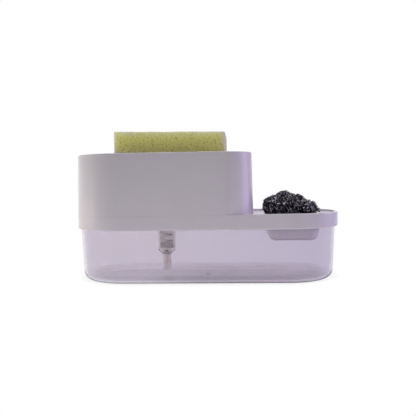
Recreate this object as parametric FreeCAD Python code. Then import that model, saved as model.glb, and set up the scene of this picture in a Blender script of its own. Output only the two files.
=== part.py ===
import FreeCAD, Part
import math
import os

from FreeCAD import Vector

# Soap pump caddy: a clear tank, a white cover with a tall sponge well and a low dish, and a soap pump
# that works when the sponge is pressed down. Millimetres, +Z up, front to -Y, origin under the tank's middle.

# Driving dimensions of the tank
tank_height = 54.8
tank_wall = 2.0
tank_floor = 2.2
tank_draft_angle = 2.5
tank_bottom_round = 8.5
gate_mark_diameter = 3.2
gate_mark_height = 0.5

# Driving dimensions of the cover
cover_length = 235.0
cover_width = 100.0
cover_end_flat = 8.0
skirt_drop = 8.3
skirt_wall = 1.9
skirt_fit = 0.4
skirt_edge_share = 0.8
deck_thickness = 2.2
low_rim_height = 2.5
low_rim_wall = 2.6
low_rim_round = 1.0
deck_corner_round = 1.2
low_end_length = 75.5
well_wall = 2.4
well_right_corner = 26.0
well_step = 0.04
well_draft_angle = 1.1
well_rim_round_share = 0.38
well_floor_round = 2.5
well_foot_slope = 1.6

# Driving dimensions of the dish recess in the cover
dish_width = 60.0
dish_corner = 10.0
dish_gap = 11.6
dish_end_gap = 17.9
dish_depth = 20.0
dish_wall = 2.0
dish_left_lean = 4.0
dish_right_lean = 4.0
dish_side_lean = 4.0
dish_bottom_round = 3.0

# Driving dimensions of the pump's neck, collar and gasket
neck_wall = 2.5
neck_clearance = 0.55
neck_height = 11.0
gasket_thickness = 1.2
gasket_fit = 0.3
collar_wall = 2.8
collar_top = 1.8
collar_foot_gap = 0.8
collar_fit = 0.15
collar_flute_count = 24
collar_flute_radius = 0.9

# Driving dimensions of the pump barrel
barrel_outer_diameter = 15.9
barrel_wall = 1.2
barrel_flange_step = 0.5
barrel_flange = 1.6
barrel_collar_step = 0.55
barrel_collar_height = 3.0
barrel_foot_rise = 22.6
barrel_floor_rise = 2.2
shoulder_height = 3.3
spigot_wall = 1.8
spigot_length = 9.0
inlet_bore_diameter = 2.8
ball_chamber_gap = 1.8

# Driving dimensions of the dip tube
dip_tube_wall = 1.2
dip_tube_end_gap = 4.2
dip_tube_notch = 1.6
push_fit = 0.02

# Driving dimensions of the check balls
inlet_ball_diameter = 4.76
inlet_ball_lift = 1.5
outlet_ball_diameter = 3.96
outlet_ball_lift = 1.2
ball_room = 0.2
ball_seat_gap = 0.05

# Driving dimensions of the ball retainer
retainer_thickness = 1.3
retainer_hole_diameter = 3.0
retainer_slot_width = 1.4
retainer_slot_reach = 4.6

# Driving dimensions of the plunger: stem, piston, seat and chaplet
pump_stroke = 13.0
stroke_spare = 1.2
stem_diameter = 7.0
stem_bore_diameter = 2.6
stem_socket_diameter = 4.6
stem_seat_rim = 0.7
piston_length = 7.0
piston_lip_length = 2.0
piston_lip_thickness = 0.9
piston_waist_gap = 1.25
piston_fit = 0.04
stop_gap = 0.3
seat_flange_gap = 0.95
seat_flange = 1.8
seat_nose_gap = 0.7
seat_nose_length = 4.0
seat_plug_length = 5.0
seat_plug_gap = 0.3
chaplet_overhang = 1.0
chaplet_flange = 1.6
chaplet_plug_length = 4.5
chaplet_fit = 0.05

# Driving dimensions of the return spring, wound left-handed
spring_wire = 1.0
spring_gap = 0.75
spring_dead_turns = 1.75
spring_live_turns = 4.5
spring_dead_gap = 0.6
spring_end_gap = 0.1

# Driving dimensions of the press plate and its outlet cap
plate_sink = 12.0
plate_thickness = 2.2
plate_fit = 1.6
plate_rim_height = 5.0
plate_rim_wall = 1.8
plate_rib_height = 1.5
plate_rib_width = 2.0
plate_rib_pairs = 4
plate_rib_end_gap = 9.3
plate_rib_margin = 5.0
plate_slot_width = 3.0
plate_slot_start = 8.0
plate_slot_margin = 9.0
plate_hub_wall = 1.0
plate_hub_depth = 6.7
plate_web = 1.8
plate_web_height = 4.0
outlet_chamber_gap = 0.8
outlet_cap_diameter = 12.0
outlet_cap_thickness = 1.2
outlet_cap_fit = 0.03
outlet_slot_width = 1.3
outlet_slot_length = 7.0
outlet_slot_count = 2

# Driving dimensions of the sponge and the scrubber
sponge_left_gap = 32.4
sponge_right_gap = 16.7
sponge_depth = 66.0
sponge_height = 30.0
sponge_edge_round = 1.5
scrubber_overhang = 2.5
scrubber_side_gap = 7.0
scrubber_crown_height = 21.0
scrubber_crown_shift = 1.0
scrubber_rest_gap = 0.3

# Lobes of the scrubber that rest in the dish: place along and across the dish, rise of the foot as a share
# of the dish's depth, and radius as a share of the dish's length
dish_lobe_shares = [
    (0.50, 0.500, 0.000, 0.422),
    (0.302, 0.367, 0.185, 0.239),
    (0.302, 0.633, 0.185, 0.239),
    (0.693, 0.367, 0.235, 0.217),
    (0.693, 0.633, 0.235, 0.217),
]

# Lobes of its crown above the deck: place along and across the crown, then rise of the centre and radius as
# shares of the crown's height
crown_lobe_shares = [
    (0.218, 0.50, 0.324, 0.486),
    (0.249, 0.38, 0.381, 0.457),
    (0.410, 0.54, 0.476, 0.533),
    (0.596, 0.44, 0.381, 0.514),
    (0.743, 0.58, 0.262, 0.400),
    (0.861, 0.56, 0.305, 0.248),
    (0.876, 0.40, 0.267, 0.219),
    (0.233, 0.26, 0.262, 0.452),
    (0.233, 0.74, 0.262, 0.452),
    (0.508, 0.26, 0.262, 0.500),
    (0.488, 0.74, 0.286, 0.500),
    (0.743, 0.29, 0.214, 0.405),
    (0.724, 0.73, 0.214, 0.381),
]

# One overrun serves all cuts, one tolerance finds edges by their height, and two counts measure the spring
overrun = 1.0
edge_find = 0.01
edge_samples = 5
quarter_turn_edges = 2

# Levels and places worked out from the sizes above
deck_bottom = tank_height
deck_top = deck_bottom + deck_thickness
skirt_bottom = deck_bottom - skirt_drop
low_rim_top = deck_top + low_rim_height
cover_corner = (cover_width - cover_end_flat) / 2
cover_left = -cover_length / 2
well_length = cover_length - low_end_length
well_x = cover_left + well_length / 2
well_right = cover_left + well_length
pump_x = well_x
barrel_bore_diameter = barrel_outer_diameter - 2 * barrel_wall
barrel_collar_diameter = barrel_outer_diameter + 2 * barrel_collar_step
neck_bore_diameter = barrel_outer_diameter + 2 * neck_clearance
neck_outer_diameter = neck_bore_diameter + 2 * neck_wall
barrel_flange_diameter = neck_outer_diameter - 2 * barrel_flange_step
spigot_diameter = inlet_bore_diameter + 2 * spigot_wall
dip_tube_diameter = spigot_diameter + 2 * dip_tube_wall
ball_chamber_diameter = inlet_ball_diameter + 2 * ball_chamber_gap
spring_outer_diameter = barrel_bore_diameter - 2 * spring_gap
seat_flange_diameter = barrel_bore_diameter - 2 * seat_flange_gap
seat_nose_diameter = spring_outer_diameter - 2 * spring_wire - 2 * seat_nose_gap
piston_waist_diameter = barrel_bore_diameter - 2 * piston_waist_gap
chaplet_flange_diameter = barrel_collar_diameter + 2 * chaplet_overhang
outlet_chamber_diameter = outlet_ball_diameter + 2 * outlet_chamber_gap
plate_hub_diameter = outlet_cap_diameter + 2 * plate_hub_wall
neck_top = deck_top + neck_height
flange_bottom = neck_top + gasket_thickness
flange_top = flange_bottom + barrel_flange
barrel_top = flange_top + barrel_collar_height
barrel_foot = tank_floor + barrel_foot_rise
barrel_floor = barrel_foot + barrel_floor_rise
shoulder_foot = barrel_foot - shoulder_height
spigot_foot = shoulder_foot - spigot_length
retainer_top = barrel_floor + retainer_thickness
inlet_ball_z = barrel_floor - ball_room - inlet_ball_lift - inlet_ball_diameter / 2
inlet_apex = inlet_ball_z - math.sqrt(2) * (inlet_ball_diameter / 2 + ball_seat_gap)
chaplet_top = barrel_top + chaplet_flange
chaplet_foot = barrel_top - chaplet_plug_length
piston_top = chaplet_foot - stop_gap
piston_foot = piston_top - piston_length
seat_flange_foot = piston_foot - seat_flange
plate_hub_foot = chaplet_top + pump_stroke + stroke_spare
plate_bottom = plate_hub_foot + plate_hub_depth
plate_top = plate_bottom + plate_thickness
sponge_bottom = plate_top + plate_rib_height
well_top = sponge_bottom + plate_sink
well_lean = math.tan(math.radians(well_draft_angle))
well_inner_inset = well_step + well_lean * (well_top - deck_bottom) + well_wall
tray_inset = well_inner_inset + plate_fit + plate_rim_wall
plate_rib_pitch = (well_length / 2 - tray_inset - plate_rib_end_gap) / plate_rib_pairs
sponge_left = cover_left + tray_inset + sponge_left_gap
sponge_length = well_right - tray_inset - sponge_right_gap - sponge_left
cap_bottom = plate_top - outlet_cap_thickness
stem_cone_radius = stem_diameter / 2 - stem_seat_rim
outlet_ball_z = cap_bottom - ball_room - outlet_ball_lift - outlet_ball_diameter / 2
stem_top = outlet_ball_z - math.sqrt(2) * (outlet_ball_diameter / 2 + ball_seat_gap) + stem_cone_radius
dish_length = low_end_length - dish_gap - dish_end_gap
dish_x = well_right + dish_gap + dish_length / 2
dish_floor = deck_top - dish_depth
scrubber_bottom = dish_floor + scrubber_rest_gap
crown_length = dish_length + 2 * scrubber_overhang
crown_depth = dish_width - 2 * scrubber_side_gap
crown_x = dish_x + scrubber_crown_shift


def rounded_outline(half_length, half_width, left_corner, right_corner, x, z):
    """Closed plan outline at height z: straight sides joined by quarter-circle corners."""
    edges = []
    previous_end = Vector(x + half_length, right_corner - half_width, z)
    for side_x, side_y in [(1, 1), (-1, 1), (-1, -1), (1, -1)]:
        corner = right_corner if side_x > 0 else left_corner
        straight_x = half_length - corner
        straight_y = half_width - corner
        diagonal = corner * math.sqrt(0.5)
        on_end = Vector(x + side_x * half_length, side_y * straight_y, z)
        on_side = Vector(x + side_x * straight_x, side_y * half_width, z)
        middle = Vector(x + side_x * (straight_x + diagonal), side_y * (straight_y + diagonal), z)
        if side_x == side_y:
            start, end = on_end, on_side
        else:
            start, end = on_side, on_end
        edges.append(Part.makeLine(previous_end, start))
        edges.append(Part.Arc(start, middle, end).toShape())
        previous_end = end
    return Part.Wire(edges)


def cover_outline(inset, z):
    """Plan outline of the whole cover, drawn in by an inset."""
    corner = cover_corner - inset
    return rounded_outline(cover_length / 2 - inset, cover_width / 2 - inset, corner, corner, 0, z)


def well_outline(inset, z):
    """Plan outline of the tall well, drawn in by an inset."""
    return rounded_outline(well_length / 2 - inset, cover_width / 2 - inset, cover_corner - inset,
                           well_right_corner - inset, well_x, z)


def loft(wires):
    """Solid with straight sides between two outlines."""
    return Part.makeLoft(wires, True, True)


def prism(wire, height):
    """Solid that stands on an outline."""
    return Part.Face(wire).extrude(Vector(0, 0, height))


def flat_edges(shape, z):
    """Edges of a shape that lie wholly at one height."""
    found = []
    for edge in shape.Edges:
        box = edge.BoundBox
        if abs(box.ZMin - z) < edge_find and abs(box.ZMax - z) < edge_find:
            found.append(edge)
    return found


def turned(profile):
    """Solid of revolution about the pump's axis from a closed profile of radius and height."""
    points = [Vector(pump_x + radius, 0, z) for radius, z in profile]
    face = Part.Face(Part.makePolygon(points + [points[0]]))
    return face.revolve(Vector(pump_x, 0, 0), Vector(0, 0, 1), 360)


def pump_pin(diameter, bottom, top):
    """Upright cylinder on the pump's axis."""
    return Part.makeCylinder(diameter / 2, top - bottom, Vector(pump_x, 0, bottom))


def pump_bar(length, width, bottom, top, angle):
    """Upright bar through the pump's axis, turned about it."""
    bar = Part.makeBox(length, width, top - bottom, Vector(pump_x - length / 2, -width / 2, bottom))
    bar.rotate(Vector(pump_x, 0, 0), Vector(0, 0, 1), angle)
    return bar


def tank_inset(z):
    """How far the tank's outside stands in from the cover's outline at a height."""
    return skirt_wall + skirt_fit + (tank_height - z) * math.tan(math.radians(tank_draft_angle))


def make_tank():
    outside = loft([cover_outline(tank_inset(0), 0), cover_outline(tank_inset(tank_height), tank_height)])
    outside = outside.makeFillet(tank_bottom_round, flat_edges(outside, 0))
    cut_top = tank_height + overrun
    inside = loft([
        cover_outline(tank_inset(tank_floor) + tank_wall, tank_floor),
        cover_outline(tank_inset(cut_top) + tank_wall, cut_top),
    ])
    inside = inside.makeFillet(tank_bottom_round - tank_wall, flat_edges(inside, tank_floor))
    gate_mark = Part.makeCylinder(gate_mark_diameter / 2, gate_mark_height + tank_floor / 2,
                                  Vector(0, 0, tank_floor / 2))
    return outside.cut(inside).fuse(gate_mark).removeSplitter()


def make_skirt():
    """Low part of the cover: skirt, deck and low rim, before the hollows are cut."""
    block = prism(cover_outline(0, skirt_bottom), low_rim_top - skirt_bottom)
    block = block.makeFillet(skirt_edge_share * skirt_wall, flat_edges(block, skirt_bottom))
    return block.makeFillet(low_rim_round, flat_edges(block, low_rim_top))


def make_well_outside():
    """Outer body of the tall well, with its draft."""
    top_inset = well_step + well_lean * (well_top - deck_bottom)
    return loft([well_outline(well_step, deck_bottom), well_outline(top_inset, well_top)])


def make_low_hollow(well_outside):
    """Space inside the low rim, beside the well."""
    hollow = prism(cover_outline(low_rim_wall, deck_top), low_rim_height + overrun)
    hollow = hollow.makeFillet(deck_corner_round, flat_edges(hollow, deck_top))
    foot = loft([
        well_outline(well_step - well_foot_slope, deck_top),
        well_outline(well_step, deck_top + well_foot_slope),
    ])
    return hollow.cut([well_outside, foot])


def make_well_hollow():
    """Space inside the tall well, above the deck."""
    hollow = prism(well_outline(well_inner_inset, deck_top), well_top - deck_top + overrun)
    return hollow.makeFillet(well_floor_round, flat_edges(hollow, deck_top))


def dish_body(wall, floor_z, top_z):
    """Leaning bowl of the dish: its inside for wall 0, its outside for the wall's thickness."""
    drop_share = (deck_top - floor_z) / dish_depth
    left = dish_x - dish_length / 2 - wall
    right = dish_x + dish_length / 2 + wall
    foot_left = left + dish_left_lean * drop_share
    foot_right = right - dish_right_lean * drop_share
    half_width = dish_width / 2 + wall
    foot_half_width = half_width - dish_side_lean * drop_share
    foot_corner = dish_corner + wall - dish_side_lean * drop_share
    top_corner = dish_corner + wall
    top = rounded_outline((right - left) / 2, half_width, top_corner, top_corner, (left + right) / 2, top_z)
    foot = rounded_outline((foot_right - foot_left) / 2, foot_half_width, foot_corner, foot_corner,
                           (foot_left + foot_right) / 2, floor_z)
    bowl = loft([foot, top])
    return bowl.makeFillet(dish_bottom_round + wall, flat_edges(bowl, floor_z))


def make_neck():
    """Neck on the deck that the screw collar holds."""
    return pump_pin(neck_outer_diameter, deck_bottom, neck_top)


def make_cover():
    well_outside = make_well_outside()
    cover = make_skirt().fuse(well_outside)
    cover = cover.cut(make_well_hollow()).cut(make_low_hollow(well_outside))
    under_deck = prism(cover_outline(skirt_wall, skirt_bottom - overrun), skirt_drop + overrun)
    cover = cover.cut(under_deck)
    cover = cover.fuse([dish_body(dish_wall, dish_floor - dish_wall, deck_top), make_neck()])
    cover = cover.cut(dish_body(0, dish_floor, deck_top))
    cover = cover.cut(pump_pin(neck_bore_diameter, deck_bottom - overrun, neck_top + overrun))
    cover = cover.removeSplitter()
    return cover.makeFillet(well_rim_round_share * well_wall, flat_edges(cover, well_top))


def make_gasket():
    ring = pump_pin(barrel_flange_diameter, neck_top, flange_bottom)
    hole_diameter = barrel_outer_diameter + 2 * gasket_fit
    return ring.cut(pump_pin(hole_diameter, neck_top - overrun, flange_bottom + overrun))


def make_screw_collar():
    inner_radius = neck_outer_diameter / 2 + collar_fit
    outer_radius = inner_radius + collar_wall
    hole_radius = barrel_collar_diameter / 2 + collar_fit
    foot = deck_top + collar_foot_gap
    top = flange_top + collar_top
    collar = turned([
        (inner_radius, foot),
        (outer_radius, foot),
        (outer_radius, top - collar_top / 2),
        (outer_radius - collar_top / 2, top),
        (hole_radius, top),
        (hole_radius, flange_top),
        (inner_radius, flange_top),
    ])
    flute = Part.makeCylinder(collar_flute_radius, top - foot + 2 * overrun,
                              Vector(pump_x + outer_radius, 0, foot - overrun))
    flutes = []
    for index in range(collar_flute_count):
        turn = flute.copy()
        turn.rotate(Vector(pump_x, 0, 0), Vector(0, 0, 1), 360 * index / collar_flute_count)
        flutes.append(turn)
    return collar.cut(flutes)


def make_barrel():
    outer = barrel_outer_diameter / 2
    bore = barrel_bore_diameter / 2
    chamber = ball_chamber_diameter / 2
    inlet = inlet_bore_diameter / 2
    spigot = spigot_diameter / 2
    return turned([
        (inlet, spigot_foot),
        (spigot, spigot_foot),
        (spigot, shoulder_foot),
        (dip_tube_diameter / 2, shoulder_foot),
        (outer, barrel_foot),
        (outer, flange_bottom),
        (barrel_flange_diameter / 2, flange_bottom),
        (barrel_flange_diameter / 2, flange_top),
        (barrel_collar_diameter / 2, flange_top),
        (barrel_collar_diameter / 2, barrel_top),
        (bore, barrel_top),
        (bore, barrel_floor),
        (chamber, barrel_floor),
        (chamber, inlet_apex + chamber),
        (inlet, inlet_apex + inlet),
    ])


def make_dip_tube():
    bore_diameter = spigot_diameter + 2 * push_fit
    foot = tank_floor + dip_tube_end_gap
    tube = pump_pin(dip_tube_diameter, foot, shoulder_foot)
    tube = tube.cut(pump_pin(bore_diameter, foot - overrun, shoulder_foot + overrun))
    return tube.cut(pump_bar(2 * dip_tube_diameter, dip_tube_notch, foot - overrun, foot + dip_tube_notch, 0))


def make_ball(diameter, z):
    return Part.makeSphere(diameter / 2, Vector(pump_x, 0, z))


def make_ball_retainer():
    disc = pump_pin(barrel_bore_diameter - 2 * push_fit, barrel_floor, retainer_top)
    cuts = [pump_pin(retainer_hole_diameter, barrel_floor - overrun, retainer_top + overrun)]
    for angle in (0, 90):
        cuts.append(pump_bar(2 * retainer_slot_reach, retainer_slot_width, barrel_floor - overrun,
                             retainer_top + overrun, angle))
    return disc.cut(cuts)


def make_chaplet():
    bore = stem_diameter / 2 + chaplet_fit
    plug = barrel_bore_diameter / 2 - push_fit
    flange = chaplet_flange_diameter / 2
    edge = chaplet_flange / 2
    return turned([
        (bore, chaplet_foot),
        (plug, chaplet_foot),
        (plug, barrel_top),
        (flange, barrel_top),
        (flange, chaplet_top - edge),
        (flange - edge, chaplet_top),
        (bore, chaplet_top),
    ])


def make_stem():
    outer = stem_diameter / 2
    bore = stem_bore_diameter / 2
    socket = stem_socket_diameter / 2
    socket_top = piston_foot + seat_plug_length + seat_plug_gap
    return turned([
        (socket, piston_foot),
        (outer, piston_foot),
        (outer, stem_top),
        (stem_cone_radius, stem_top),
        (bore, stem_top - stem_cone_radius + bore),
        (bore, socket_top),
        (socket, socket_top),
    ])


def make_piston():
    bore = stem_diameter / 2 + push_fit
    outer = barrel_bore_diameter / 2 - piston_fit
    waist = piston_waist_diameter / 2
    lip_inner = outer - piston_lip_thickness
    upper_lip = piston_top - piston_lip_length
    lower_lip = piston_foot + piston_lip_length
    return turned([
        (bore, piston_foot),
        (waist, piston_foot),
        (waist, lower_lip - piston_lip_thickness),
        (lip_inner, piston_foot),
        (outer, piston_foot),
        (outer, lower_lip),
        (waist, lower_lip + piston_lip_thickness),
        (waist, upper_lip - piston_lip_thickness),
        (outer, upper_lip),
        (outer, piston_top),
        (lip_inner, piston_top),
        (waist, upper_lip),
        (bore, upper_lip),
    ])


def make_piston_seat():
    bore = stem_bore_diameter / 2
    plug = stem_socket_diameter / 2 - push_fit
    flange = seat_flange_diameter / 2
    nose = seat_nose_diameter / 2
    nose_foot = seat_flange_foot - seat_nose_length
    return turned([
        (bore, nose_foot),
        (nose, nose_foot),
        (nose, seat_flange_foot),
        (flange, seat_flange_foot),
        (flange, piston_foot),
        (plug, piston_foot),
        (plug, piston_foot + seat_plug_length),
        (bore, piston_foot + seat_plug_length),
    ])


def spring_point(turn, bottom, dead_pitch, live_pitch):
    """Centre line of the spring after so many turns, with close turns at both ends."""
    ramps = [
        (0, spring_dead_turns, dead_pitch),
        (spring_dead_turns, spring_dead_turns + spring_live_turns, live_pitch),
        (spring_dead_turns + spring_live_turns, 2 * spring_dead_turns + spring_live_turns, dead_pitch),
    ]
    z = bottom
    for start, end, pitch in ramps:
        z += pitch * max(0, min(turn, end) - start)
    radius = (spring_outer_diameter - spring_wire) / 2
    angle = -2 * math.pi * turn
    return Vector(pump_x + radius * math.cos(angle), radius * math.sin(angle), z)


def arc_by_tangent(start, corner, end):
    """Arc between two points whose tangents meet in a corner point."""
    middle = (start + end) * 0.5
    half_turn = math.acos(min(1, (end - start).Length / 2 / (corner - start).Length))
    reach_share = math.tan(half_turn / 2) / math.tan(half_turn)
    return Part.Arc(start, middle + (corner - middle) * reach_share, end).toShape()


def biarc(start, start_way, end, end_way):
    """Two arcs that leave one point along its way and reach the next along its way."""
    span = end - start
    ways = start_way + end_way
    a = 2 * (1 - start_way.dot(end_way))
    b = 2 * span.dot(ways)
    reach = (-b + math.sqrt(b * b + 4 * a * span.dot(span))) / (2 * a)
    first_corner = start + start_way * reach
    second_corner = end - end_way * reach
    joint = (first_corner + second_corner) * 0.5
    return [arc_by_tangent(start, first_corner, joint), arc_by_tangent(joint, second_corner, end)]


def make_spring():
    """Return spring: one unbroken wire along quarter-turn biarcs, with its own least gap measured."""
    dead_pitch = spring_wire + spring_dead_gap
    bottom = retainer_top + spring_end_gap + spring_wire / 2
    top = seat_flange_foot - spring_end_gap - spring_wire / 2
    live_pitch = (top - bottom - 2 * spring_dead_turns * dead_pitch) / spring_live_turns
    turns = 2 * spring_dead_turns + spring_live_turns
    steps = round(4 * turns)
    step = turns / steps
    nudge = step / 100
    points = []
    ways = []
    for index in range(steps + 1):
        turn = index * step
        before = spring_point(turn - nudge, bottom, dead_pitch, live_pitch)
        after = spring_point(turn + nudge, bottom, dead_pitch, live_pitch)
        points.append(spring_point(turn, bottom, dead_pitch, live_pitch))
        ways.append((after - before).normalize())
    edges = []
    for index in range(steps):
        edges += biarc(points[index], ways[index], points[index + 1], ways[index + 1])
    path = Part.Wire(edges)
    ring = Part.Wire(Part.makeCircle(spring_wire / 2, points[0], ways[0]))
    report_spring_gap(edges)
    return path.makePipeShell([ring], True, False)


def report_spring_gap(edges):
    """Print the least gap between turns of the spring's wire, from points along its centre line."""
    samples = []
    for edge in edges:
        samples += edge.discretize(edge_samples + 1)[:-1]
    half_turn = edge_samples * quarter_turn_edges * 2
    least = min(
        (samples[first] - samples[second]).Length
        for first in range(len(samples))
        for second in range(first + half_turn, len(samples))
    )
    print("least gap between the spring's turns: %.2f mm" % (least - spring_wire))


def plate_outline(inset, z):
    """Plan outline of the press plate, drawn in by an inset."""
    return well_outline(well_inner_inset + plate_fit + inset, z)


def plate_bars(places, width, bottom, top):
    """Bars across the plate at places along its length."""
    bars = []
    for place in places:
        corner = Vector(pump_x + place - width / 2, -cover_width / 2, bottom)
        bars.append(Part.makeBox(width, cover_width, top - bottom, corner))
    return bars


def make_plate_ribs():
    """Ribs that hold the sponge clear of the plate."""
    places = [side * pair * plate_rib_pitch for pair in range(1, plate_rib_pairs + 1) for side in (-1, 1)]
    bars = plate_bars(places, plate_rib_width, plate_bottom, sponge_bottom)
    field = prism(plate_outline(plate_rib_margin, plate_bottom), sponge_bottom - plate_bottom)
    return [bar.common(field) for bar in bars]


def make_plate_slots():
    """Drain slots between the ribs, either side of the middle web."""
    places = [side * (pair + 0.5) * plate_rib_pitch for pair in range(1, plate_rib_pairs) for side in (-1, 1)]
    bars = plate_bars(places, plate_slot_width, plate_bottom - overrun, plate_top + overrun)
    field = prism(plate_outline(plate_slot_margin, plate_bottom - overrun), plate_thickness + 2 * overrun)
    middle = Part.makeBox(well_length, 2 * plate_slot_start, plate_thickness + 4 * overrun,
                          Vector(pump_x - well_length / 2, -plate_slot_start, plate_bottom - 2 * overrun))
    return [bar.common(field).cut(middle) for bar in bars]


def make_plate_webs():
    """Webs under the plate that run out from the hub."""
    web_foot = plate_bottom - plate_web_height
    web_top = plate_bottom + plate_thickness / 2
    field = prism(plate_outline(plate_slot_margin, web_foot), web_top - web_foot)
    webs = []
    for angle in (0, 90):
        web = pump_bar(well_length, plate_web, web_foot, web_top, angle)
        webs.append(web.common(field))
    return webs


def make_press_plate():
    plate = prism(plate_outline(0, plate_bottom), plate_thickness + plate_rim_height)
    tray = prism(plate_outline(plate_rim_wall, plate_top), plate_rim_height + overrun)
    plate = plate.cut(tray)
    plate = plate.cut(make_plate_slots())
    hub = pump_pin(plate_hub_diameter, plate_hub_foot, plate_top)
    plate = plate.fuse(make_plate_ribs() + make_plate_webs() + [hub])
    plate = plate.cut([
        pump_pin(stem_diameter + 2 * push_fit, plate_hub_foot - overrun, stem_top),
        pump_pin(outlet_chamber_diameter, stem_top - overrun, cap_bottom),
        pump_pin(outlet_cap_diameter, cap_bottom, plate_top + overrun),
    ])
    return plate.removeSplitter()


def make_outlet_cap():
    cap = pump_pin(outlet_cap_diameter - 2 * outlet_cap_fit, cap_bottom, plate_top)
    slots = []
    for index in range(outlet_slot_count):
        angle = 180 * index / outlet_slot_count
        slots.append(pump_bar(outlet_slot_length, outlet_slot_width, cap_bottom - overrun,
                              plate_top + overrun, angle))
    return cap.cut(slots)


def make_sponge():
    corner = Vector(sponge_left, -sponge_depth / 2, sponge_bottom)
    block = Part.makeBox(sponge_length, sponge_depth, sponge_height, corner)
    return block.makeFillet(sponge_edge_round, block.Edges)


def make_scrubber():
    """Lumpy ball of steel wool: lobes that rest in the dish, under a wider crown above the deck."""
    lobes = []
    for along_share, across_share, rise_share, radius_share in dish_lobe_shares:
        radius = radius_share * dish_length
        lobe_x = dish_x + (along_share - 0.5) * dish_length
        lobe_y = (across_share - 0.5) * dish_width
        lobe_z = scrubber_bottom + rise_share * dish_depth + radius
        lobes.append(Part.makeSphere(radius, Vector(lobe_x, lobe_y, lobe_z)))
    for along_share, across_share, rise_share, radius_share in crown_lobe_shares:
        radius = radius_share * scrubber_crown_height
        lobe_x = crown_x + (along_share - 0.5) * crown_length
        lobe_y = (across_share - 0.5) * crown_depth
        lobe_z = deck_top + rise_share * scrubber_crown_height
        lobes.append(Part.makeSphere(radius, Vector(lobe_x, lobe_y, lobe_z)))
    return lobes[0].fuse(lobes[1:]).removeSplitter()


def main():
    parts = {
        "tank": make_tank(),
        "cover": make_cover(),
        "neck_gasket": make_gasket(),
        "screw_collar": make_screw_collar(),
        "pump_barrel": make_barrel(),
        "dip_tube": make_dip_tube(),
        "inlet_ball": make_ball(inlet_ball_diameter, inlet_ball_z),
        "ball_retainer": make_ball_retainer(),
        "pump_chaplet": make_chaplet(),
        "pump_stem": make_stem(),
        "pump_piston": make_piston(),
        "piston_seat": make_piston_seat(),
        "pump_spring": make_spring(),
        "press_plate": make_press_plate(),
        "outlet_ball": make_ball(outlet_ball_diameter, outlet_ball_z),
        "outlet_cap": make_outlet_cap(),
        "sponge": make_sponge(),
        "scrubber": make_scrubber(),
    }
    os.makedirs("parts", exist_ok=True)
    for name, shape in parts.items():
        solids = shape.Solids
        box = shape.BoundBox
        print("%-14s valid %s solids %d z %.2f to %.2f volume %.0f"
              % (name, shape.isValid(), len(solids), box.ZMin, box.ZMax, shape.Volume))
        solids[0].exportStep("parts/%s.step" % name)


main()
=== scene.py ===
import bisect
import itertools
import math
import random
from types import SimpleNamespace

import bmesh
import bpy
from mathutils import Matrix, Vector, noise


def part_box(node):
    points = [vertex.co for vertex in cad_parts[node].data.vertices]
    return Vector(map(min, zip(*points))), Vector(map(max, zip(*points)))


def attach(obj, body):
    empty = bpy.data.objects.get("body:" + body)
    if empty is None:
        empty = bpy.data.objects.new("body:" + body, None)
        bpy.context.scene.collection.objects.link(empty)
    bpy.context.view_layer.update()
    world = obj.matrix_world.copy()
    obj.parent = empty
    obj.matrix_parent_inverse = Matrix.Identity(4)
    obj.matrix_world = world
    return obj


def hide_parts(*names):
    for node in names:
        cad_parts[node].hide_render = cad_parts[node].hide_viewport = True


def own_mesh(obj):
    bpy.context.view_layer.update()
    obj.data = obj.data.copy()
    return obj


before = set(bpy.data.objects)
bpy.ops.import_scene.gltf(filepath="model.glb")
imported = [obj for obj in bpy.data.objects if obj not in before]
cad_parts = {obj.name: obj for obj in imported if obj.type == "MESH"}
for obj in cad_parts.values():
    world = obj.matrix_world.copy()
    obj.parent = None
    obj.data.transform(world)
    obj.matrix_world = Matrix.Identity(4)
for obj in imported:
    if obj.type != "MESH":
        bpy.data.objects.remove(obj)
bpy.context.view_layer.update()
MM = 0.001

# The photograph's camera: a square frame, seen from just right of the middle.
PHOTO_PIXELS = 416
FOCAL_PIXELS = 543.0
SENSOR_WIDTH = 36.0
CAMERA_DISTANCE = 500 * MM
CAMERA_HEIGHT = 85.26 * MM
CAMERA_YAW = 0.0604
CAMERA_PAN = -0.0018
CAMERA_PITCH = -0.0446
CAMERA_ROLL = -0.0148

# Colours are linear.
WHITE = (1.0, 1.0, 1.0)
WHITE_PLASTIC = (0.78, 0.735, 0.80)
# The tank's tint: partly the plastic's own lavender, partly painted shade for the shade seen behind it.
CLEAR_TINT_AND_SHADE = (0.72, 0.68, 0.745)
BARREL_PLASTIC = (0.95, 0.90, 0.88)
TUBE_PLASTIC = (1.0, 0.965, 0.955)
RUBBER_GREY = (0.07, 0.07, 0.075)
BALL_STEEL = (0.62, 0.61, 0.63)
SPRING_STEEL = (0.10, 0.095, 0.095)
# Scourer colours are painted light: near-black painted shade of the tangle and bright painted glints.
SCOURER_SHADE = (0.005, 0.0045, 0.006)
SCOURER_HALF_SHADE = (0.035, 0.032, 0.04)
SCOURER_PAINTED_GLINT = (0.92, 0.85, 1.0)
FOAM_LIGHT = (0.99, 0.96, 0.45)
FOAM_DARK = (0.57, 0.51, 0.11)
# Pale edge colour of the foam: partly fuzz, partly painted light.
FOAM_FUZZ_AND_GLOW = (0.99, 0.96, 0.74)

# Shader settings that are the same all over a material.
CLEAR_SETTINGS = {"Base Color": CLEAR_TINT_AND_SHADE, "Transmission Weight": 1.0, "IOR": 1.49}
NATURAL_SETTINGS = {"Transmission Weight": 0.81, "IOR": 1.15}
STEEL_SETTINGS = {"Metallic": 1.0}
CORE_SETTINGS = {"Metallic": 0.6, "Roughness": 0.6}
FOAM_SETTINGS = {
    "Roughness": 0.9,
    "Specular IOR Level": 0.2,
    "Subsurface Weight": 1.0,
    "Subsurface Radius": (1.0, 0.95, 0.5),
    "Subsurface Scale": 26 * MM,
}

# Depths of the surfaces' grain.
FINE_GRAIN = 0.1 * MM
PLASTIC_GRAIN = 0.2 * MM
TANK_RIPPLE = 0.6 * MM
FOAM_GRAIN = 0.6 * MM
CORE_GRAIN = 0.8 * MM

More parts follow.
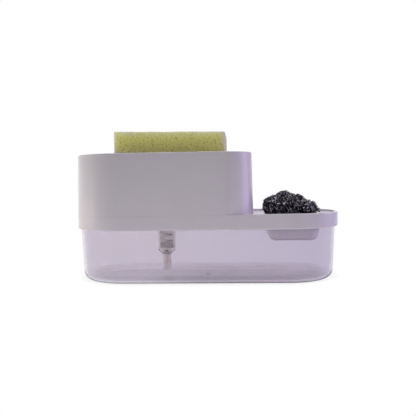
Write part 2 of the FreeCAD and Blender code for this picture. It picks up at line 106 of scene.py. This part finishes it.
# Noise values between which the colours run.
CLOUD_ENDS = (0.3, 0.7)
CORE_ENDS = (0.45, 0.75)
FOAM_ENDS = (0.1, 0.45)
# Painted shade and painted glints on the scourer's ribbons.
GLINT_AND_SHADE_STEPS = [(0.55, SCOURER_SHADE), (0.60, SCOURER_HALF_SHADE), (0.645, SCOURER_PAINTED_GLINT)]

# Foam: shares of the cells' height from their middles outward, and of the lightness of its clouds.
CELL_SHARES = (1.0, 0.25)
FINE_CELL_SHARES = (1.0, 0.55)
FOAM_CLOUD_SHARES = (0.92, 1.04)


def lerp(low, high, share):
    return low + (high - low) * share


def smooth_step(low, high, value):
    share = min(max((value - low) / (high - low), 0.0), 1.0)
    return share * share * (3 - 2 * share)


def put(tree, value, socket):
    """Link another node's output to the socket, or set the socket to a number or a colour."""
    if isinstance(value, bpy.types.NodeSocket):
        tree.links.new(value, socket)
    elif socket.type == "RGBA":
        socket.default_value = (*value, 1)
    else:
        socket.default_value = value


def add_node(tree, kind, **inputs):
    """A node whose inputs are given by their labels in lower case."""
    node = tree.nodes.new(kind)
    for name, value in inputs.items():
        put(tree, value, node.inputs[name.replace("_", " ").title()])
    return node


def calculate(tree, operation, *values):
    """The result of one operation on numbers or other nodes' outputs."""
    node = tree.nodes.new("ShaderNodeMath")
    node.operation = operation
    for value, socket in zip(values, node.inputs):
        put(tree, value, socket)
    return node.outputs["Value"]


def blend(tree, kind, share, first, second):
    """The first value where the share is 0 and the second where it is 1."""
    node = tree.nodes.new("ShaderNodeMix")
    node.data_type = kind
    for label, value in (("Factor", share), ("A", first), ("B", second)):
        put(tree, value, node.inputs[label])
    return node.outputs["Result"]


def mix_shaders(tree, share, first, second):
    """A shader that is the first where the share is 0 and the second where it is 1."""
    node = add_node(tree, "ShaderNodeMixShader", fac=share)
    tree.links.new(first.outputs[0], node.inputs[1])
    tree.links.new(second.outputs[0], node.inputs[2])
    return node


def object_place(tree):
    return add_node(tree, "ShaderNodeTexCoord").outputs["Object"]


def place_along(tree, axis):
    """How far a point lies along X, Y or Z."""
    return add_node(tree, "ShaderNodeSeparateXYZ", vector=object_place(tree)).outputs[axis]


def noise_field(tree, scale, detail=3.0, roughness=0.5):
    field = add_node(tree, "ShaderNodeTexNoise", vector=object_place(tree), scale=scale, detail=detail,
                     roughness=roughness)
    return field.outputs["Fac"]


def cell_field(tree, scale):
    return add_node(tree, "ShaderNodeTexVoronoi", vector=object_place(tree), scale=scale).outputs["Distance"]


def remap(tree, value, shares, ends=(0.0, 1.0)):
    """A value that runs between two ends turned into one that runs between two shares."""
    node = add_node(tree, "ShaderNodeMapRange", value=value, from_min=ends[0], from_max=ends[1],
                    to_min=shares[0], to_max=shares[1])
    return node.outputs["Result"]


def colour_steps(tree, value, steps):
    """Colour that runs through the given pairs of position and colour."""
    ramp = add_node(tree, "ShaderNodeValToRGB", fac=value)
    elements = ramp.color_ramp.elements
    while len(elements) < len(steps):
        elements.new(1.0)
    for element, (position, colour) in zip(elements, steps):
        element.position = position
        element.color = (*colour, 1)
    return ramp.outputs["Color"]


def colour_between(tree, value, first, second, ends=(0.0, 1.0)):
    return colour_steps(tree, value, list(zip(ends, (first, second))))


def new_material(name, settings):
    material = bpy.data.materials.new(name)
    material.use_nodes = True
    tree = material.node_tree
    shader = tree.nodes["Principled BSDF"]
    for label, value in settings.items():
        put(tree, value, shader.inputs[label])
    return material, tree, shader


def cloud_colour(tree, shader, cloud, colour, dark_share):
    """Colour that a cloudy field runs from a darker share of it up to itself."""
    dark = tuple(channel * dark_share for channel in colour)
    tree.links.new(colour_between(tree, cloud, dark, colour, CLOUD_ENDS), shader.inputs["Base Color"])


def cloud_roughness(tree, shader, cloud, least, most):
    tree.links.new(remap(tree, cloud, (least, most)), shader.inputs["Roughness"])


def bump(tree, shader, height, strength, depth):
    node = add_node(tree, "ShaderNodeBump", height=height, strength=strength, distance=depth)
    tree.links.new(node.outputs["Normal"], shader.inputs["Normal"])


def white_plastic():
    material, tree, shader = new_material("white_plastic", {})
    cloud_colour(tree, shader, noise_field(tree, scale=45.0), WHITE_PLASTIC, dark_share=0.975)
    cloud_roughness(tree, shader, noise_field(tree, scale=160.0), least=0.20, most=0.28)
    bump(tree, shader, noise_field(tree, scale=2600.0, detail=2.0), strength=0.06, depth=PLASTIC_GRAIN)
    return material


def clear_plastic():
    material, tree, shader = new_material("clear_plastic", CLEAR_SETTINGS)
    cloud_roughness(tree, shader, noise_field(tree, scale=60.0), least=0.0, most=0.05)
    bump(tree, shader, noise_field(tree, scale=35.0, detail=1.0), strength=0.05, depth=TANK_RIPPLE)
    return material


def natural_plastic(name, colour):
    material, tree, shader = new_material(name, NATURAL_SETTINGS)
    cloud_colour(tree, shader, noise_field(tree, scale=220.0), colour, dark_share=0.94)
    cloud_roughness(tree, shader, noise_field(tree, scale=300.0), least=0.02, most=0.07)
    bump(tree, shader, noise_field(tree, scale=1500.0, detail=2.0), strength=0.05, depth=PLASTIC_GRAIN)
    return material


def gasket_rubber():
    material, tree, shader = new_material("gasket_rubber", {})
    cloud = noise_field(tree, scale=900.0)
    cloud_colour(tree, shader, cloud, RUBBER_GREY, dark_share=0.8)
    cloud_roughness(tree, shader, cloud, least=0.55, most=0.75)
    bump(tree, shader, noise_field(tree, scale=4000.0), strength=0.15, depth=FINE_GRAIN)
    return material


def bright_steel(name, colour, scratch_scale, least, most):
    """Steel with fine scratches; its roughness runs from the least to the most."""
    material, tree, shader = new_material(name, STEEL_SETTINGS)
    cloud_colour(tree, shader, noise_field(tree, scale=700.0), colour, dark_share=0.88)
    scratches = noise_field(tree, scratch_scale)
    cloud_roughness(tree, shader, scratches, least, most)
    bump(tree, shader, scratches, strength=0.05, depth=FINE_GRAIN)
    return material


def scourer_steel():
    material, tree, shader = new_material("scourer_steel", STEEL_SETTINGS)
    # Painted shade and painted glints in the base colour, spread by noise.
    painted_glints_and_shade = colour_steps(tree, noise_field(tree, scale=1050.0, detail=1.5), GLINT_AND_SHADE_STEPS)
    tree.links.new(painted_glints_and_shade, shader.inputs["Base Color"])
    scratches = noise_field(tree, scale=1800.0)
    cloud_roughness(tree, shader, scratches, least=0.22, most=0.42)
    bump(tree, shader, scratches, strength=0.12, depth=FINE_GRAIN)
    return material


# Painted shade: a near-black core that stands for the shade deep in the tangle.
def scourer_shade_core():
    material, tree, shader = new_material("scourer_shade_core", CORE_SETTINGS)
    grain = noise_field(tree, scale=900.0)
    tone = colour_between(tree, grain, SCOURER_SHADE, SCOURER_HALF_SHADE, CORE_ENDS)
    tree.links.new(tone, shader.inputs["Base Color"])
    bump(tree, shader, grain, strength=0.8, depth=CORE_GRAIN)
    return material


def foam_cells(tree):
    """Cells of two sizes, highest in their middles and lower between them."""
    cells = remap(tree, cell_field(tree, scale=620.0), CELL_SHARES)
    fine_cells = remap(tree, cell_field(tree, scale=1500.0), FINE_CELL_SHARES)
    return calculate(tree, "MULTIPLY", cells, fine_cells)


def foot_shade_share(tree):
    """How light the foam is by its height: painted shade that darkens it towards its foot."""
    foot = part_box("sponge")[0][2]
    return remap(tree, place_along(tree, "Z"), (FOOT_SHADE_SHARE, 1.0), (foot, foot + FOOT_SHADE_REACH))


def sponge_foam():
    material, tree, shader = new_material("sponge_foam", FOAM_SETTINGS)
    cells = foam_cells(tree)
    tone = colour_between(tree, cells, FOAM_DARK, FOAM_LIGHT, FOAM_ENDS)
    cloud = remap(tree, noise_field(tree, scale=55.0), FOAM_CLOUD_SHARES)
    # Painted shade: the foam's colour darkens towards its foot.
    lightness = calculate(tree, "MULTIPLY", cloud, foot_shade_share(tree))
    foot_shaded = add_node(tree, "ShaderNodeHueSaturation", color=tone, value=lightness)
    fuzz_and_glow_attribute = add_node(tree, "ShaderNodeAttribute")
    fuzz_and_glow_attribute.attribute_name = EDGE_FUZZ_AND_GLOW
    # Pale fuzz and painted light along the foam's edges.
    with_edge_glow = blend(tree, "RGBA", fuzz_and_glow_attribute.outputs["Fac"], foot_shaded.outputs["Color"], FOAM_FUZZ_AND_GLOW)
    tree.links.new(with_edge_glow, shader.inputs["Base Color"])
    bump(tree, shader, cells, strength=0.6, depth=FOAM_GRAIN)
    return material


def add_object(name, data, material):
    """An object in the scene, made of the mesh data with one material."""
    data.materials.append(material)
    added = bpy.data.objects.new(name, data)
    bpy.context.collection.objects.link(added)
    return added


# Soft foam block with open pores, a little taller at its left end; its edges are paler, partly pale fuzz and
# partly painted light, and its foot has painted shade.
FOAM_CELL = 0.7 * MM
FOAM_ROUND = 1.0 * MM
PORE_PITCH = 2.1 * MM
PORE_DEPTH = 0.3 * MM
PORE_WALL_SHARES = (0.12, 0.55)
FINE_PORE_SHARE = 0.45
SURFACE_SWAY = 0.2 * MM
SWAY_PITCH = 21 * MM
LEFT_RISE = 1.6 * MM
# Painted shade towards the foam's foot: how far up it reaches and its least lightness.
FOOT_SHADE_REACH = 24.0 * MM
FOOT_SHADE_SHARE = 0.72
# Pale fuzz and painted light along the foam's edges.
EDGE_FUZZ_AND_GLOW = "edge_fuzz_and_glow"
FUZZ_AND_GLOW_REACH = 8.0 * MM
FUZZ_AND_GLOW_SHARES = (0.1, 0.5)
FUZZ_AND_GLOW_PITCH = 3.0 * MM
FUZZ_AND_GLOW_NOISE_ENDS = (-0.5, 0.5)
QUAD_STEPS = ((0, 0), (1, 0), (1, 1), (0, 1))


def block_faces(low, high, cell):
    """Vertices and quads of a closed box, each side cut into a grid."""
    counts = [max(2, round((high[axis] - low[axis]) / cell)) for axis in range(3)]
    places = {}
    vertices = []
    quads = []

    def vertex(key):
        if key not in places:
            places[key] = len(vertices)
            shares = [key[axis] / counts[axis] for axis in range(3)]
            vertices.append(Vector([lerp(low[axis], high[axis], shares[axis]) for axis in range(3)]))
        return places[key]

    for axis in range(3):
        across = (axis + 1) % 3
        along = (axis + 2) % 3
        ends = (0, counts[axis])
        for end, row, column in itertools.product(ends, range(counts[across]), range(counts[along])):
            corners = []
            for row_step, column_step in QUAD_STEPS:
                key = [0, 0, 0]
                key[axis] = end
                key[across] = row + row_step
                key[along] = column + column_step
                corners.append(vertex(tuple(key)))
            if end == 0:
                corners.reverse()
            quads.append(corners)
    return vertices, quads


def rounded_point(point, low, high, radius):
    """The point moved onto the box with rounded edges, and the outward direction there."""
    core = Vector([min(max(point[axis], low[axis] + radius), high[axis] - radius) for axis in range(3)])
    outward = (point - core).normalized()
    return core + outward * radius, outward


def pore_depth(point, pitch, depth):
    nearest = noise.voronoi(point / pitch)[0][0]
    return depth * (1 - smooth_step(*PORE_WALL_SHARES, nearest))


def foam_point(place, outward, low, high):
    """The place with sway and pores cut in above the foot, raised towards the block's left end."""
    sway = SURFACE_SWAY * noise.noise(place / SWAY_PITCH)
    pores = pore_depth(place, PORE_PITCH, PORE_DEPTH)
    pores += pore_depth(place, PORE_PITCH * FINE_PORE_SHARE, PORE_DEPTH * FINE_PORE_SHARE)
    above_foot = smooth_step(low.z, low.z + FOAM_ROUND, place.z)
    tall_share = (place.z - low.z) / (high.z - low.z) * (high.x - place.x) / (high.x - low.x)
    rise = Vector((0, 0, LEFT_RISE * tall_share))
    return place + outward * (sway - pores - SURFACE_SWAY) * above_foot + rise


def edge_fuzz_and_glow(point, low, high):
    """How pale the foam is, partly fuzz and partly painted light: most on the block's edges, none away from
    them.
    """
    sides = sorted(min(point[axis] - low[axis], high[axis] - point[axis]) for axis in range(3))
    patch = lerp(*FUZZ_AND_GLOW_SHARES, smooth_step(*FUZZ_AND_GLOW_NOISE_ENDS, noise.noise(point / FUZZ_AND_GLOW_PITCH)))
    return patch * (1 - smooth_step(0.0, FUZZ_AND_GLOW_REACH, sides[1]))


def make_sponge(material):
    low, high = (Vector(corner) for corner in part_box("sponge"))
    vertices, quads = block_faces(low, high, FOAM_CELL)
    shaped = []
    fuzz_and_glow = []
    for point in vertices:
        place, outward = rounded_point(point, low, high, FOAM_ROUND)
        fuzz_and_glow.append(edge_fuzz_and_glow(place, low, high))
        shaped.append(foam_point(place, outward, low, high))
    data = bpy.data.meshes.new("foam_sponge")
    data.from_pydata(shaped, [], quads)
    data.attributes.new(EDGE_FUZZ_AND_GLOW, "FLOAT", "POINT").data.foreach_set("value", fuzz_and_glow)
    data.shade_smooth()
    sponge = add_object("foam_sponge", data, material)
    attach(sponge, "sponge")
    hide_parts("sponge")


def skin_rings(mesh, rings):
    """Quads between neighbouring rings of corners, and a face over each end."""
    for first, second in zip(rings, rings[1:]):
        for side in range(len(first)):
            after = (side + 1) % len(first)
            mesh.faces.new((first[side], first[after], second[after], second[side]))
    mesh.faces.new(reversed(rings[0]))
    mesh.faces.new(rings[-1])


def smooth_data(name, mesh):
    """Smooth mesh data of the faces built so far, all of them turned outward."""
    bmesh.ops.recalc_face_normals(mesh, faces=mesh.faces)
    data = bpy.data.meshes.new(name)
    mesh.to_mesh(data)
    mesh.free()
    data.shade_smooth()
    return data


# Return spring: a wire wound left-handed, close at both ends and open between.
SPRING_WIRE = 1.0 * MM
SPRING_DEAD_TURNS = 1.75
SPRING_DEAD_PITCH = 1.6 * MM
SPRING_LIVE_TURNS = 4.5
SPRING_STEPS_PER_TURN = 32
WIRE_SIDES = 12


def spring_rise(turn, live_pitch):
    lower = min(turn, SPRING_DEAD_TURNS)
    live = min(max(turn - SPRING_DEAD_TURNS, 0.0), SPRING_LIVE_TURNS)
    upper = max(turn - SPRING_DEAD_TURNS - SPRING_LIVE_TURNS, 0.0)
    return (lower + upper) * SPRING_DEAD_PITCH + live * live_pitch


def spring_path(low, high):
    """Points along the middle of the spring's wire, from its foot up."""
    middle = (low + high) / 2
    coil_radius = (high.x - low.x - SPRING_WIRE) / 2
    climb = high.z - low.z - SPRING_WIRE
    turns = SPRING_LIVE_TURNS + 2 * SPRING_DEAD_TURNS
    live_pitch = (climb - 2 * SPRING_DEAD_TURNS * SPRING_DEAD_PITCH) / SPRING_LIVE_TURNS
    steps = round(turns * SPRING_STEPS_PER_TURN)
    path = []
    for step in range(steps + 1):
        turn = turns * step / steps
        angle = -math.tau * turn
        rise = low.z + SPRING_WIRE / 2 + spring_rise(turn, live_pitch)
        across = Vector((math.cos(angle), math.sin(angle), 0)) * coil_radius
        path.append(Vector((middle.x, middle.y, rise)) + across)
    return path


def tube_data(name, path, radius, sides):
    """A round wire along the path."""
    mesh = bmesh.new()
    rings = []
    for index, point in enumerate(path):
        ahead = path[min(index + 1, len(path) - 1)]
        behind = path[max(index - 1, 0)]
        forward = (ahead - behind).normalized()
        side = forward.cross(Vector((0, 0, 1))).normalized()
        rise = side.cross(forward)
        ring = []
        for step in range(sides):
            angle = math.tau * step / sides
            ring.append(mesh.verts.new(point + (side * math.cos(angle) + rise * math.sin(angle)) * radius))
        rings.append(ring)
    skin_rings(mesh, rings)
    return smooth_data(name, mesh)


def make_spring(material):
    low, high = (Vector(corner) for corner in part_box("pump_spring"))
    data = tube_data("return_spring", spring_path(low, high), SPRING_WIRE / 2, WIRE_SIDES)
    spring = add_object("return_spring", data, material)
    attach(spring, "cover")
    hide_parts("pump_spring")
    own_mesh(spring)


# Scourer: a tangle of flat steel ribbons, each curled into a tight coil on a lumpy pad.
SCOURER_SEED = 12
SCOURER_STRANDS = 1500
RIBBON_WIDTH = 0.5 * MM
RIBBON_THICKNESS = 0.08 * MM
CURL_RADII = (0.7 * MM, 1.3 * MM)
CURL_PITCHES = (0.75 * MM, 1.25 * MM)
CURL_TURNS = (3.0, 7.0)
CURL_STEPS_PER_TURN = 8
CURL_BENDS = (45.0, 95.0)
TUCK_TURNS = 0.9
LAYER_DEPTH = 2.0 * MM
RIBBON_SINK = 0.2 * MM
SCOURER_RIGHT = 102.5 * MM
CORE_SINK = 1.5 * MM
DISH_FOOT_SHARE = 0.3

# Unevenness of the ribbons, each read from noise at a chance place within the drift's reach.
DRIFT_REACH = 40.0
WOBBLE_SCALE = 240.0
WOBBLE_SHARE = 0.3
SWELL_SCALE = 0.9
SWELL_SHARE = 0.25
TWIST_DRIFT_SCALE = 2.0
TWIST_SHARE = 0.35

# The cover's deck and dish, which the ribbons keep clear of, and the lean of the pad's crown above them.
DECK_TOP = 57.0 * MM
DECK_GAP = 0.3 * MM
DISH_ENDS = (54.0 * MM, 99.2 * MM)
CROWN_LEAN = 2.5 * MM
LEAN_REACH = 8.0 * MM
LEAN_SIDES = (80.0 * MM, 95.0 * MM)


def node_surface(name):
    """The CAD node's faces as corner triples with their running area."""
    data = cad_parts[name].data
    data.calc_loop_triangles()
    corners = []
    areas = []
    for triangle in data.loop_triangles:
        corners.append([data.vertices[index].co.copy() for index in triangle.vertices])
        areas.append(triangle.area)
    return corners, list(itertools.accumulate(areas))


def pick_on_surface(surface, chance):
    """A chance point on the surface and the outward direction there."""
    corners, totals = surface
    first, second, third = corners[bisect.bisect_left(totals, chance.random() * totals[-1])]
    away = math.sqrt(chance.random())
    aside = chance.random()
    point = first * (1 - away) + second * (away * (1 - aside)) + third * (away * aside)
    outward = (second - first).cross(third - first).normalized()
    return point, outward


def crown_lean(place):
    """How far the pad leans towards the well: more towards its crown, from higher up at the right."""
    later = LEAN_REACH * smooth_step(*LEAN_SIDES, place.x)
    start = DECK_TOP - LEAN_REACH + later
    return CROWN_LEAN * smooth_step(start, start + LEAN_REACH, place.z)


def settled(place):
    """The place leant with the pad's crown and, outside the dish, kept above the deck."""
    place.x -= crown_lean(place)
    if not DISH_ENDS[0] < place.x < DISH_ENDS[1]:
        place.z = max(place.z, DECK_TOP + DECK_GAP + RIBBON_WIDTH / 2)
    return place


def draw_curl(outward, chance):
    """One ribbon's coil by chance, with its turn axis along the pad."""
    turn_axis = outward.cross(Vector([chance.gauss(0, 1) for axis in range(3)])).normalized()
    return SimpleNamespace(
        turn_axis=turn_axis,
        radius=lerp(*CURL_RADII, chance.random()),
        pitch=lerp(*CURL_PITCHES, chance.random()),
        turns=lerp(*CURL_TURNS, chance.random()),
        hand=chance.choice((-1, 1)),
        phase=chance.random() * math.tau,
        bend=chance.uniform(*CURL_BENDS),
        drift=Vector([chance.uniform(-DRIFT_REACH, DRIFT_REACH) for axis in range(3)]),
    )


def ribbon_section(curl, turn, centre, heading, up):
    """The four corners of a ribbon's section, in order round it."""
    wobble = noise.noise_vector(curl.drift + centre * WOBBLE_SCALE) * curl.radius * WOBBLE_SHARE
    tuck = smooth_step(0.0, TUCK_TURNS, min(turn, curl.turns - turn))
    unevenness = noise.noise(curl.drift + Vector((turn * SWELL_SCALE, 0, 0)))
    swell = curl.radius * tuck * (1 + SWELL_SHARE * unevenness)
    angle = curl.phase + curl.hand * math.tau * turn
    spoke = up * math.cos(angle) + curl.turn_axis * math.sin(angle)
    middle = settled(centre + wobble + spoke * swell)
    twist = noise.noise(curl.drift * TWIST_DRIFT_SCALE + Vector((turn, 0, 0)))
    across = (heading + spoke * TWIST_SHARE * twist).normalized()
    half_width = across * RIBBON_WIDTH / 2
    half_thick = spoke * RIBBON_THICKNESS / 2
    return (middle + half_width + half_thick, middle - half_width + half_thick,
            middle - half_width - half_thick, middle + half_width - half_thick)


def add_ribbon(mesh, start, outward, lift, chance):
    """One curled ribbon: a coil whose axis runs along the pad and bends round it."""
    curl = draw_curl(outward, chance)
    steps = round(curl.turns * CURL_STEPS_PER_TURN)
    travel = curl.pitch * curl.turns / steps
    rotate = Matrix.Rotation(curl.bend * travel, 3, curl.turn_axis)
    centre = start - outward * (curl.radius - lift)
    heading = curl.turn_axis.cross(outward).normalized()
    up = outward.copy()
    rings = []
    for step in range(steps + 1):
        heading = rotate @ heading
        up = rotate @ up
        centre = centre + heading * travel
        section = ribbon_section(curl, curl.turns * step / steps, centre, heading, up)
        rings.append([mesh.verts.new(corner) for corner in section])
    skin_rings(mesh, rings)


def make_ribbons(material):
    """Ribbons all over the pad's crown and, more thinly, over its foot in the dish."""
    chance = random.Random(SCOURER_SEED)
    noise.seed_set(SCOURER_SEED)
    surface = node_surface("scrubber")
    mesh = bmesh.new()
    strands = 0
    while strands < SCOURER_STRANDS:
        point, outward = pick_on_surface(surface, chance)
        if point.x > SCOURER_RIGHT or (point.z < DECK_TOP and chance.random() > DISH_FOOT_SHARE):
            continue
        lift = -RIBBON_SINK - LAYER_DEPTH * chance.random() ** 2
        add_ribbon(mesh, point, outward, lift, chance)
        strands += 1
    return add_object("scourer_ribbons", smooth_data("scourer_ribbons", mesh), material)


def make_core(material):
    """A copy of the CAD pad, sunk below the ribbons and leant with them."""
    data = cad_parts["scrubber"].data.copy()
    data.materials.clear()
    inward = [vertex.normal * CORE_SINK for vertex in data.vertices]
    for vertex, sink in zip(data.vertices, inward):
        vertex.co -= sink
        vertex.co.x -= crown_lean(vertex.co)
    return add_object("scourer_shade_core", data, material)


def make_scourer(ribbon_material, core_material):
    ribbons = make_ribbons(ribbon_material)
    core = make_core(core_material)
    core.parent = ribbons
    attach(ribbons, "scrubber")
    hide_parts("scrubber")


# Materials of the CAD nodes that stay in the scene, and those that let the lamps' light through.
NODE_MATERIALS = {
    "tank": "clear_plastic",
    "cover": "white_plastic",
    "neck_gasket": "gasket_rubber",
    "screw_collar": "white_plastic",
    "pump_barrel": "barrel_plastic",
    "dip_tube": "tube_plastic",
    "inlet_ball": "ball_steel",
    "ball_retainer": "tube_plastic",
    "pump_chaplet": "white_plastic",
    "pump_stem": "white_plastic",
    "pump_piston": "tube_plastic",
    "piston_seat": "white_plastic",
    "press_plate": "white_plastic",
    "outlet_ball": "ball_steel",
    "outlet_cap": "white_plastic",
}
CLEAR_NODES = ("tank", "pump_barrel", "dip_tube")


def dress_nodes(materials):
    for node, material in NODE_MATERIALS.items():
        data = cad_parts[node].data
        data.materials.clear()
        data.materials.append(materials[material])
    for node in CLEAR_NODES:
        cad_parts[node].visible_shadow = False


# Stage: white surroundings and a pale floor, which keeps a shadow round a line under the tank; seen through
# the tank, the floor there has a painted shadow and painted lamp light, lighter at the left and violet at
# the right.
FLOOR_SIZE = 6.0
FLOOR_DROP = 0.3 * MM
FLOOR_COLOUR = (0.90, 0.89, 0.91)
FLOOR_NEAR_BOUNCE = (0.95, 0.91, 0.93)
FLOOR_FAR_BOUNCE = (0.15, 0.145, 0.15)
BOUNCE_REACHES = (180 * MM, 360 * MM)
FLOOR_GLOW_SHARE = 0.28
SHADOW_BACK = 11 * MM
SHADOW_HALF_LENGTH = 62 * MM
SHADOW_REACHES = (20 * MM, 60 * MM)
# Painted shadow, with painted light at the left, on the floor seen through the tank.
TANK_REACHES = (36 * MM, 74 * MM)
TANK_GLOW_ENDS = (-60 * MM, 0.0)
TANK_PAINTED_SHADOW_SHARES = (0.56, 0.16)
# Painted lamp light on the floor seen through the tank: warm at the left, violet at the right.
TINT_ENDS = (-150 * MM, 200 * MM)
LEFT_PAINTED_LIGHT = (1.04, 1.04, 1.03)
RIGHT_PAINTED_LIGHT = (0.88, 0.88, 0.98)
SKY_COLOUR = (0.04, 0.04, 0.04)


def camera_ray(tree):
    """1 where the camera looks straight at the place, 0 in mirrors and through glass."""
    return add_node(tree, "ShaderNodeLightPath").outputs["Is Camera Ray"]


def seen_directly(tree):
    """1 for rays from the camera, a reflection or through glass, 0 for light on the object."""
    path = add_node(tree, "ShaderNodeLightPath")
    seen = calculate(tree, "MAXIMUM", path.outputs["Is Camera Ray"], path.outputs["Is Glossy Ray"])
    return calculate(tree, "MAXIMUM", seen, path.outputs["Is Transmission Ray"])


def make_world():
    world = bpy.data.worlds.new("studio")
    world.use_nodes = True
    bpy.context.scene.world = world
    tree = world.node_tree
    light = tree.nodes["Background"]
    put(tree, SKY_COLOUR, light.inputs["Color"])
    white = add_node(tree, "ShaderNodeBackground", color=WHITE)
    sky = mix_shaders(tree, seen_directly(tree), light, white)
    tree.links.new(sky.outputs["Shader"], tree.nodes["World Output"].inputs["Surface"])


def away_from_line(tree, half_length, back):
    """How far a point of the floor lies from a line along X that is set back from the middle."""
    along = calculate(tree, "ABSOLUTE", place_along(tree, "X"))
    past_end = calculate(tree, "MAXIMUM", calculate(tree, "SUBTRACT", along, half_length), 0.0)
    aside = calculate(tree, "SUBTRACT", place_along(tree, "Y"), back)
    away = add_node(tree, "ShaderNodeCombineXYZ", x=past_end, y=aside)
    length = add_node(tree, "ShaderNodeVectorMath", vector=away.outputs["Vector"])
    length.operation = "LENGTH"
    return length.outputs["Value"]


def shadow_glow(tree, least, reaches):
    """A share of glow that is least under the tank and grows to 1 away from it."""
    return remap(tree, away_from_line(tree, SHADOW_HALF_LENGTH, SHADOW_BACK), (least, 1.0), reaches)


def glow_share(tree):
    """How much of the floor glows; through the tank it has a painted shadow, with painted light at the left.
    """
    least = remap(tree, place_along(tree, "X"), TANK_PAINTED_SHADOW_SHARES, TANK_GLOW_ENDS)
    through_tank = shadow_glow(tree, least, TANK_REACHES)
    beside_tank = shadow_glow(tree, FLOOR_GLOW_SHARE, SHADOW_REACHES)
    return blend(tree, "FLOAT", camera_ray(tree), through_tank, beside_tank)


def painted_lamp_tint(tree):
    """White where the camera sees the floor; through the tank, painted lamp light, lighter at the left than
    at the right.
    """
    across = remap(tree, place_along(tree, "X"), (0.0, 1.0), TINT_ENDS)
    painted_light = colour_between(tree, across, LEFT_PAINTED_LIGHT, RIGHT_PAINTED_LIGHT)
    return blend(tree, "RGBA", camera_ray(tree), painted_light, WHITE)


def floor_bounce(tree):
    """Colour of the light that the floor throws on the object: pale near it, dark far away."""
    far = remap(tree, away_from_line(tree, half_length=0.0, back=0.0), (0.0, 1.0), BOUNCE_REACHES)
    return colour_between(tree, far, FLOOR_NEAR_BOUNCE, FLOOR_FAR_BOUNCE)


def floor_material():
    material = bpy.data.materials.new("floor")
    material.use_nodes = True
    tree = material.node_tree
    tree.nodes.remove(tree.nodes["Principled BSDF"])
    shaded = add_node(tree, "ShaderNodeBsdfDiffuse", color=FLOOR_COLOUR)
    glow = add_node(tree, "ShaderNodeEmission", color=painted_lamp_tint(tree))
    pale = mix_shaders(tree, glow_share(tree), shaded, glow)
    bounce = add_node(tree, "ShaderNodeBsdfDiffuse", color=floor_bounce(tree))
    surface = mix_shaders(tree, seen_directly(tree), bounce, pale)
    tree.links.new(surface.outputs["Shader"], tree.nodes["Material Output"].inputs["Surface"])
    return material


def make_floor():
    mesh = bmesh.new()
    bmesh.ops.create_grid(mesh, x_segments=1, y_segments=1, size=FLOOR_SIZE / 2)
    data = bpy.data.meshes.new("floor")
    mesh.to_mesh(data)
    mesh.free()
    floor = add_object("floor", data, floor_material())
    floor.location.z = -FLOOR_DROP


# Lamps in metres and watts: soft boxes above and at the right, and three that no mirror shows.
LAMP_AIM = (0.0, 0.0, 0.06)
WARM_LIGHT = (1.0, 0.955, 0.86)
VIOLET_LIGHT = (0.69, 0.554, 1.0)
MIRRORED_LAMPS = {
    "top": dict(place=(0.0, 0.3, 1.2), target=LAMP_AIM, size=(1.0, 0.8), power=9.0, colour=WHITE),
    "right": dict(place=(1.0, 0.08, 0.35), target=LAMP_AIM, size=(0.7, 0.7), power=3.95,
                  colour=VIOLET_LIGHT),
}
HIDDEN_LAMPS = {
    "left": dict(place=(-0.6, 0.03, 0.045), target=(0.0, 0.03, 0.045), size=(0.5, 0.07), power=1.6,
                 colour=WARM_LIGHT),
    "front": dict(place=(-0.1, -1.3, 0.16), target=LAMP_AIM, size=(0.9, 0.3), power=2.4, colour=WHITE),
    "card": dict(place=(0.0, -0.2, 0.003), target=(0.0, -0.2, 1.0), size=(0.26, 0.26), power=0.064,
                 colour=WHITE),
}


def soft_box(name, place, target, size, power, colour):
    lamp = bpy.data.lights.new(name, "AREA")
    lamp.shape = "RECTANGLE"
    lamp.size, lamp.size_y = size
    lamp.energy = power
    lamp.color = colour
    lamp_object = bpy.data.objects.new(name, lamp)
    lamp_object.location = place
    lamp_object.rotation_euler = (Vector(target) - Vector(place)).to_track_quat("-Z", "Y").to_euler()
    bpy.context.collection.objects.link(lamp_object)
    return lamp_object


def make_lamps():
    for name, values in MIRRORED_LAMPS.items():
        soft_box(name, **values)
    for name, values in HIDDEN_LAMPS.items():
        lamp = soft_box(name, **values)
        lamp.visible_glossy = False
        lamp.visible_transmission = False


def make_camera():
    data = bpy.data.cameras.new("camera")
    data.sensor_width = SENSOR_WIDTH
    data.lens = FOCAL_PIXELS * SENSOR_WIDTH / PHOTO_PIXELS
    camera = bpy.data.objects.new("camera", data)
    heading = CAMERA_YAW + CAMERA_PAN
    forward = Vector((-math.sin(heading) * math.cos(CAMERA_PITCH),
                      math.cos(heading) * math.cos(CAMERA_PITCH),
                      math.sin(CAMERA_PITCH)))
    level = Vector((math.cos(heading), math.sin(heading), 0))
    rise = level.cross(forward)
    right = level * math.cos(CAMERA_ROLL) + rise * math.sin(CAMERA_ROLL)
    up = rise * math.cos(CAMERA_ROLL) - level * math.sin(CAMERA_ROLL)
    turn = Matrix((right, up, -forward)).transposed().to_4x4()
    place = Vector((math.sin(CAMERA_YAW), -math.cos(CAMERA_YAW), 0)) * CAMERA_DISTANCE
    place.z = CAMERA_HEIGHT
    camera.matrix_world = Matrix.Translation(place) @ turn
    bpy.context.collection.objects.link(camera)
    bpy.context.scene.camera = camera


def main():
    materials = {
        "clear_plastic": clear_plastic(),
        "white_plastic": white_plastic(),
        "barrel_plastic": natural_plastic("barrel_plastic", BARREL_PLASTIC),
        "tube_plastic": natural_plastic("tube_plastic", TUBE_PLASTIC),
        "gasket_rubber": gasket_rubber(),
        "ball_steel": bright_steel("ball_steel", BALL_STEEL, scratch_scale=3000.0, least=0.04, most=0.12),
    }
    dress_nodes(materials)
    make_sponge(sponge_foam())
    make_spring(bright_steel("spring_steel", SPRING_STEEL, scratch_scale=2400.0, least=0.18, most=0.34))
    make_scourer(scourer_steel(), scourer_shade_core())
    make_world()
    make_floor()
    make_lamps()
    make_camera()
    bpy.context.scene.view_settings.view_transform = "Standard"


main()
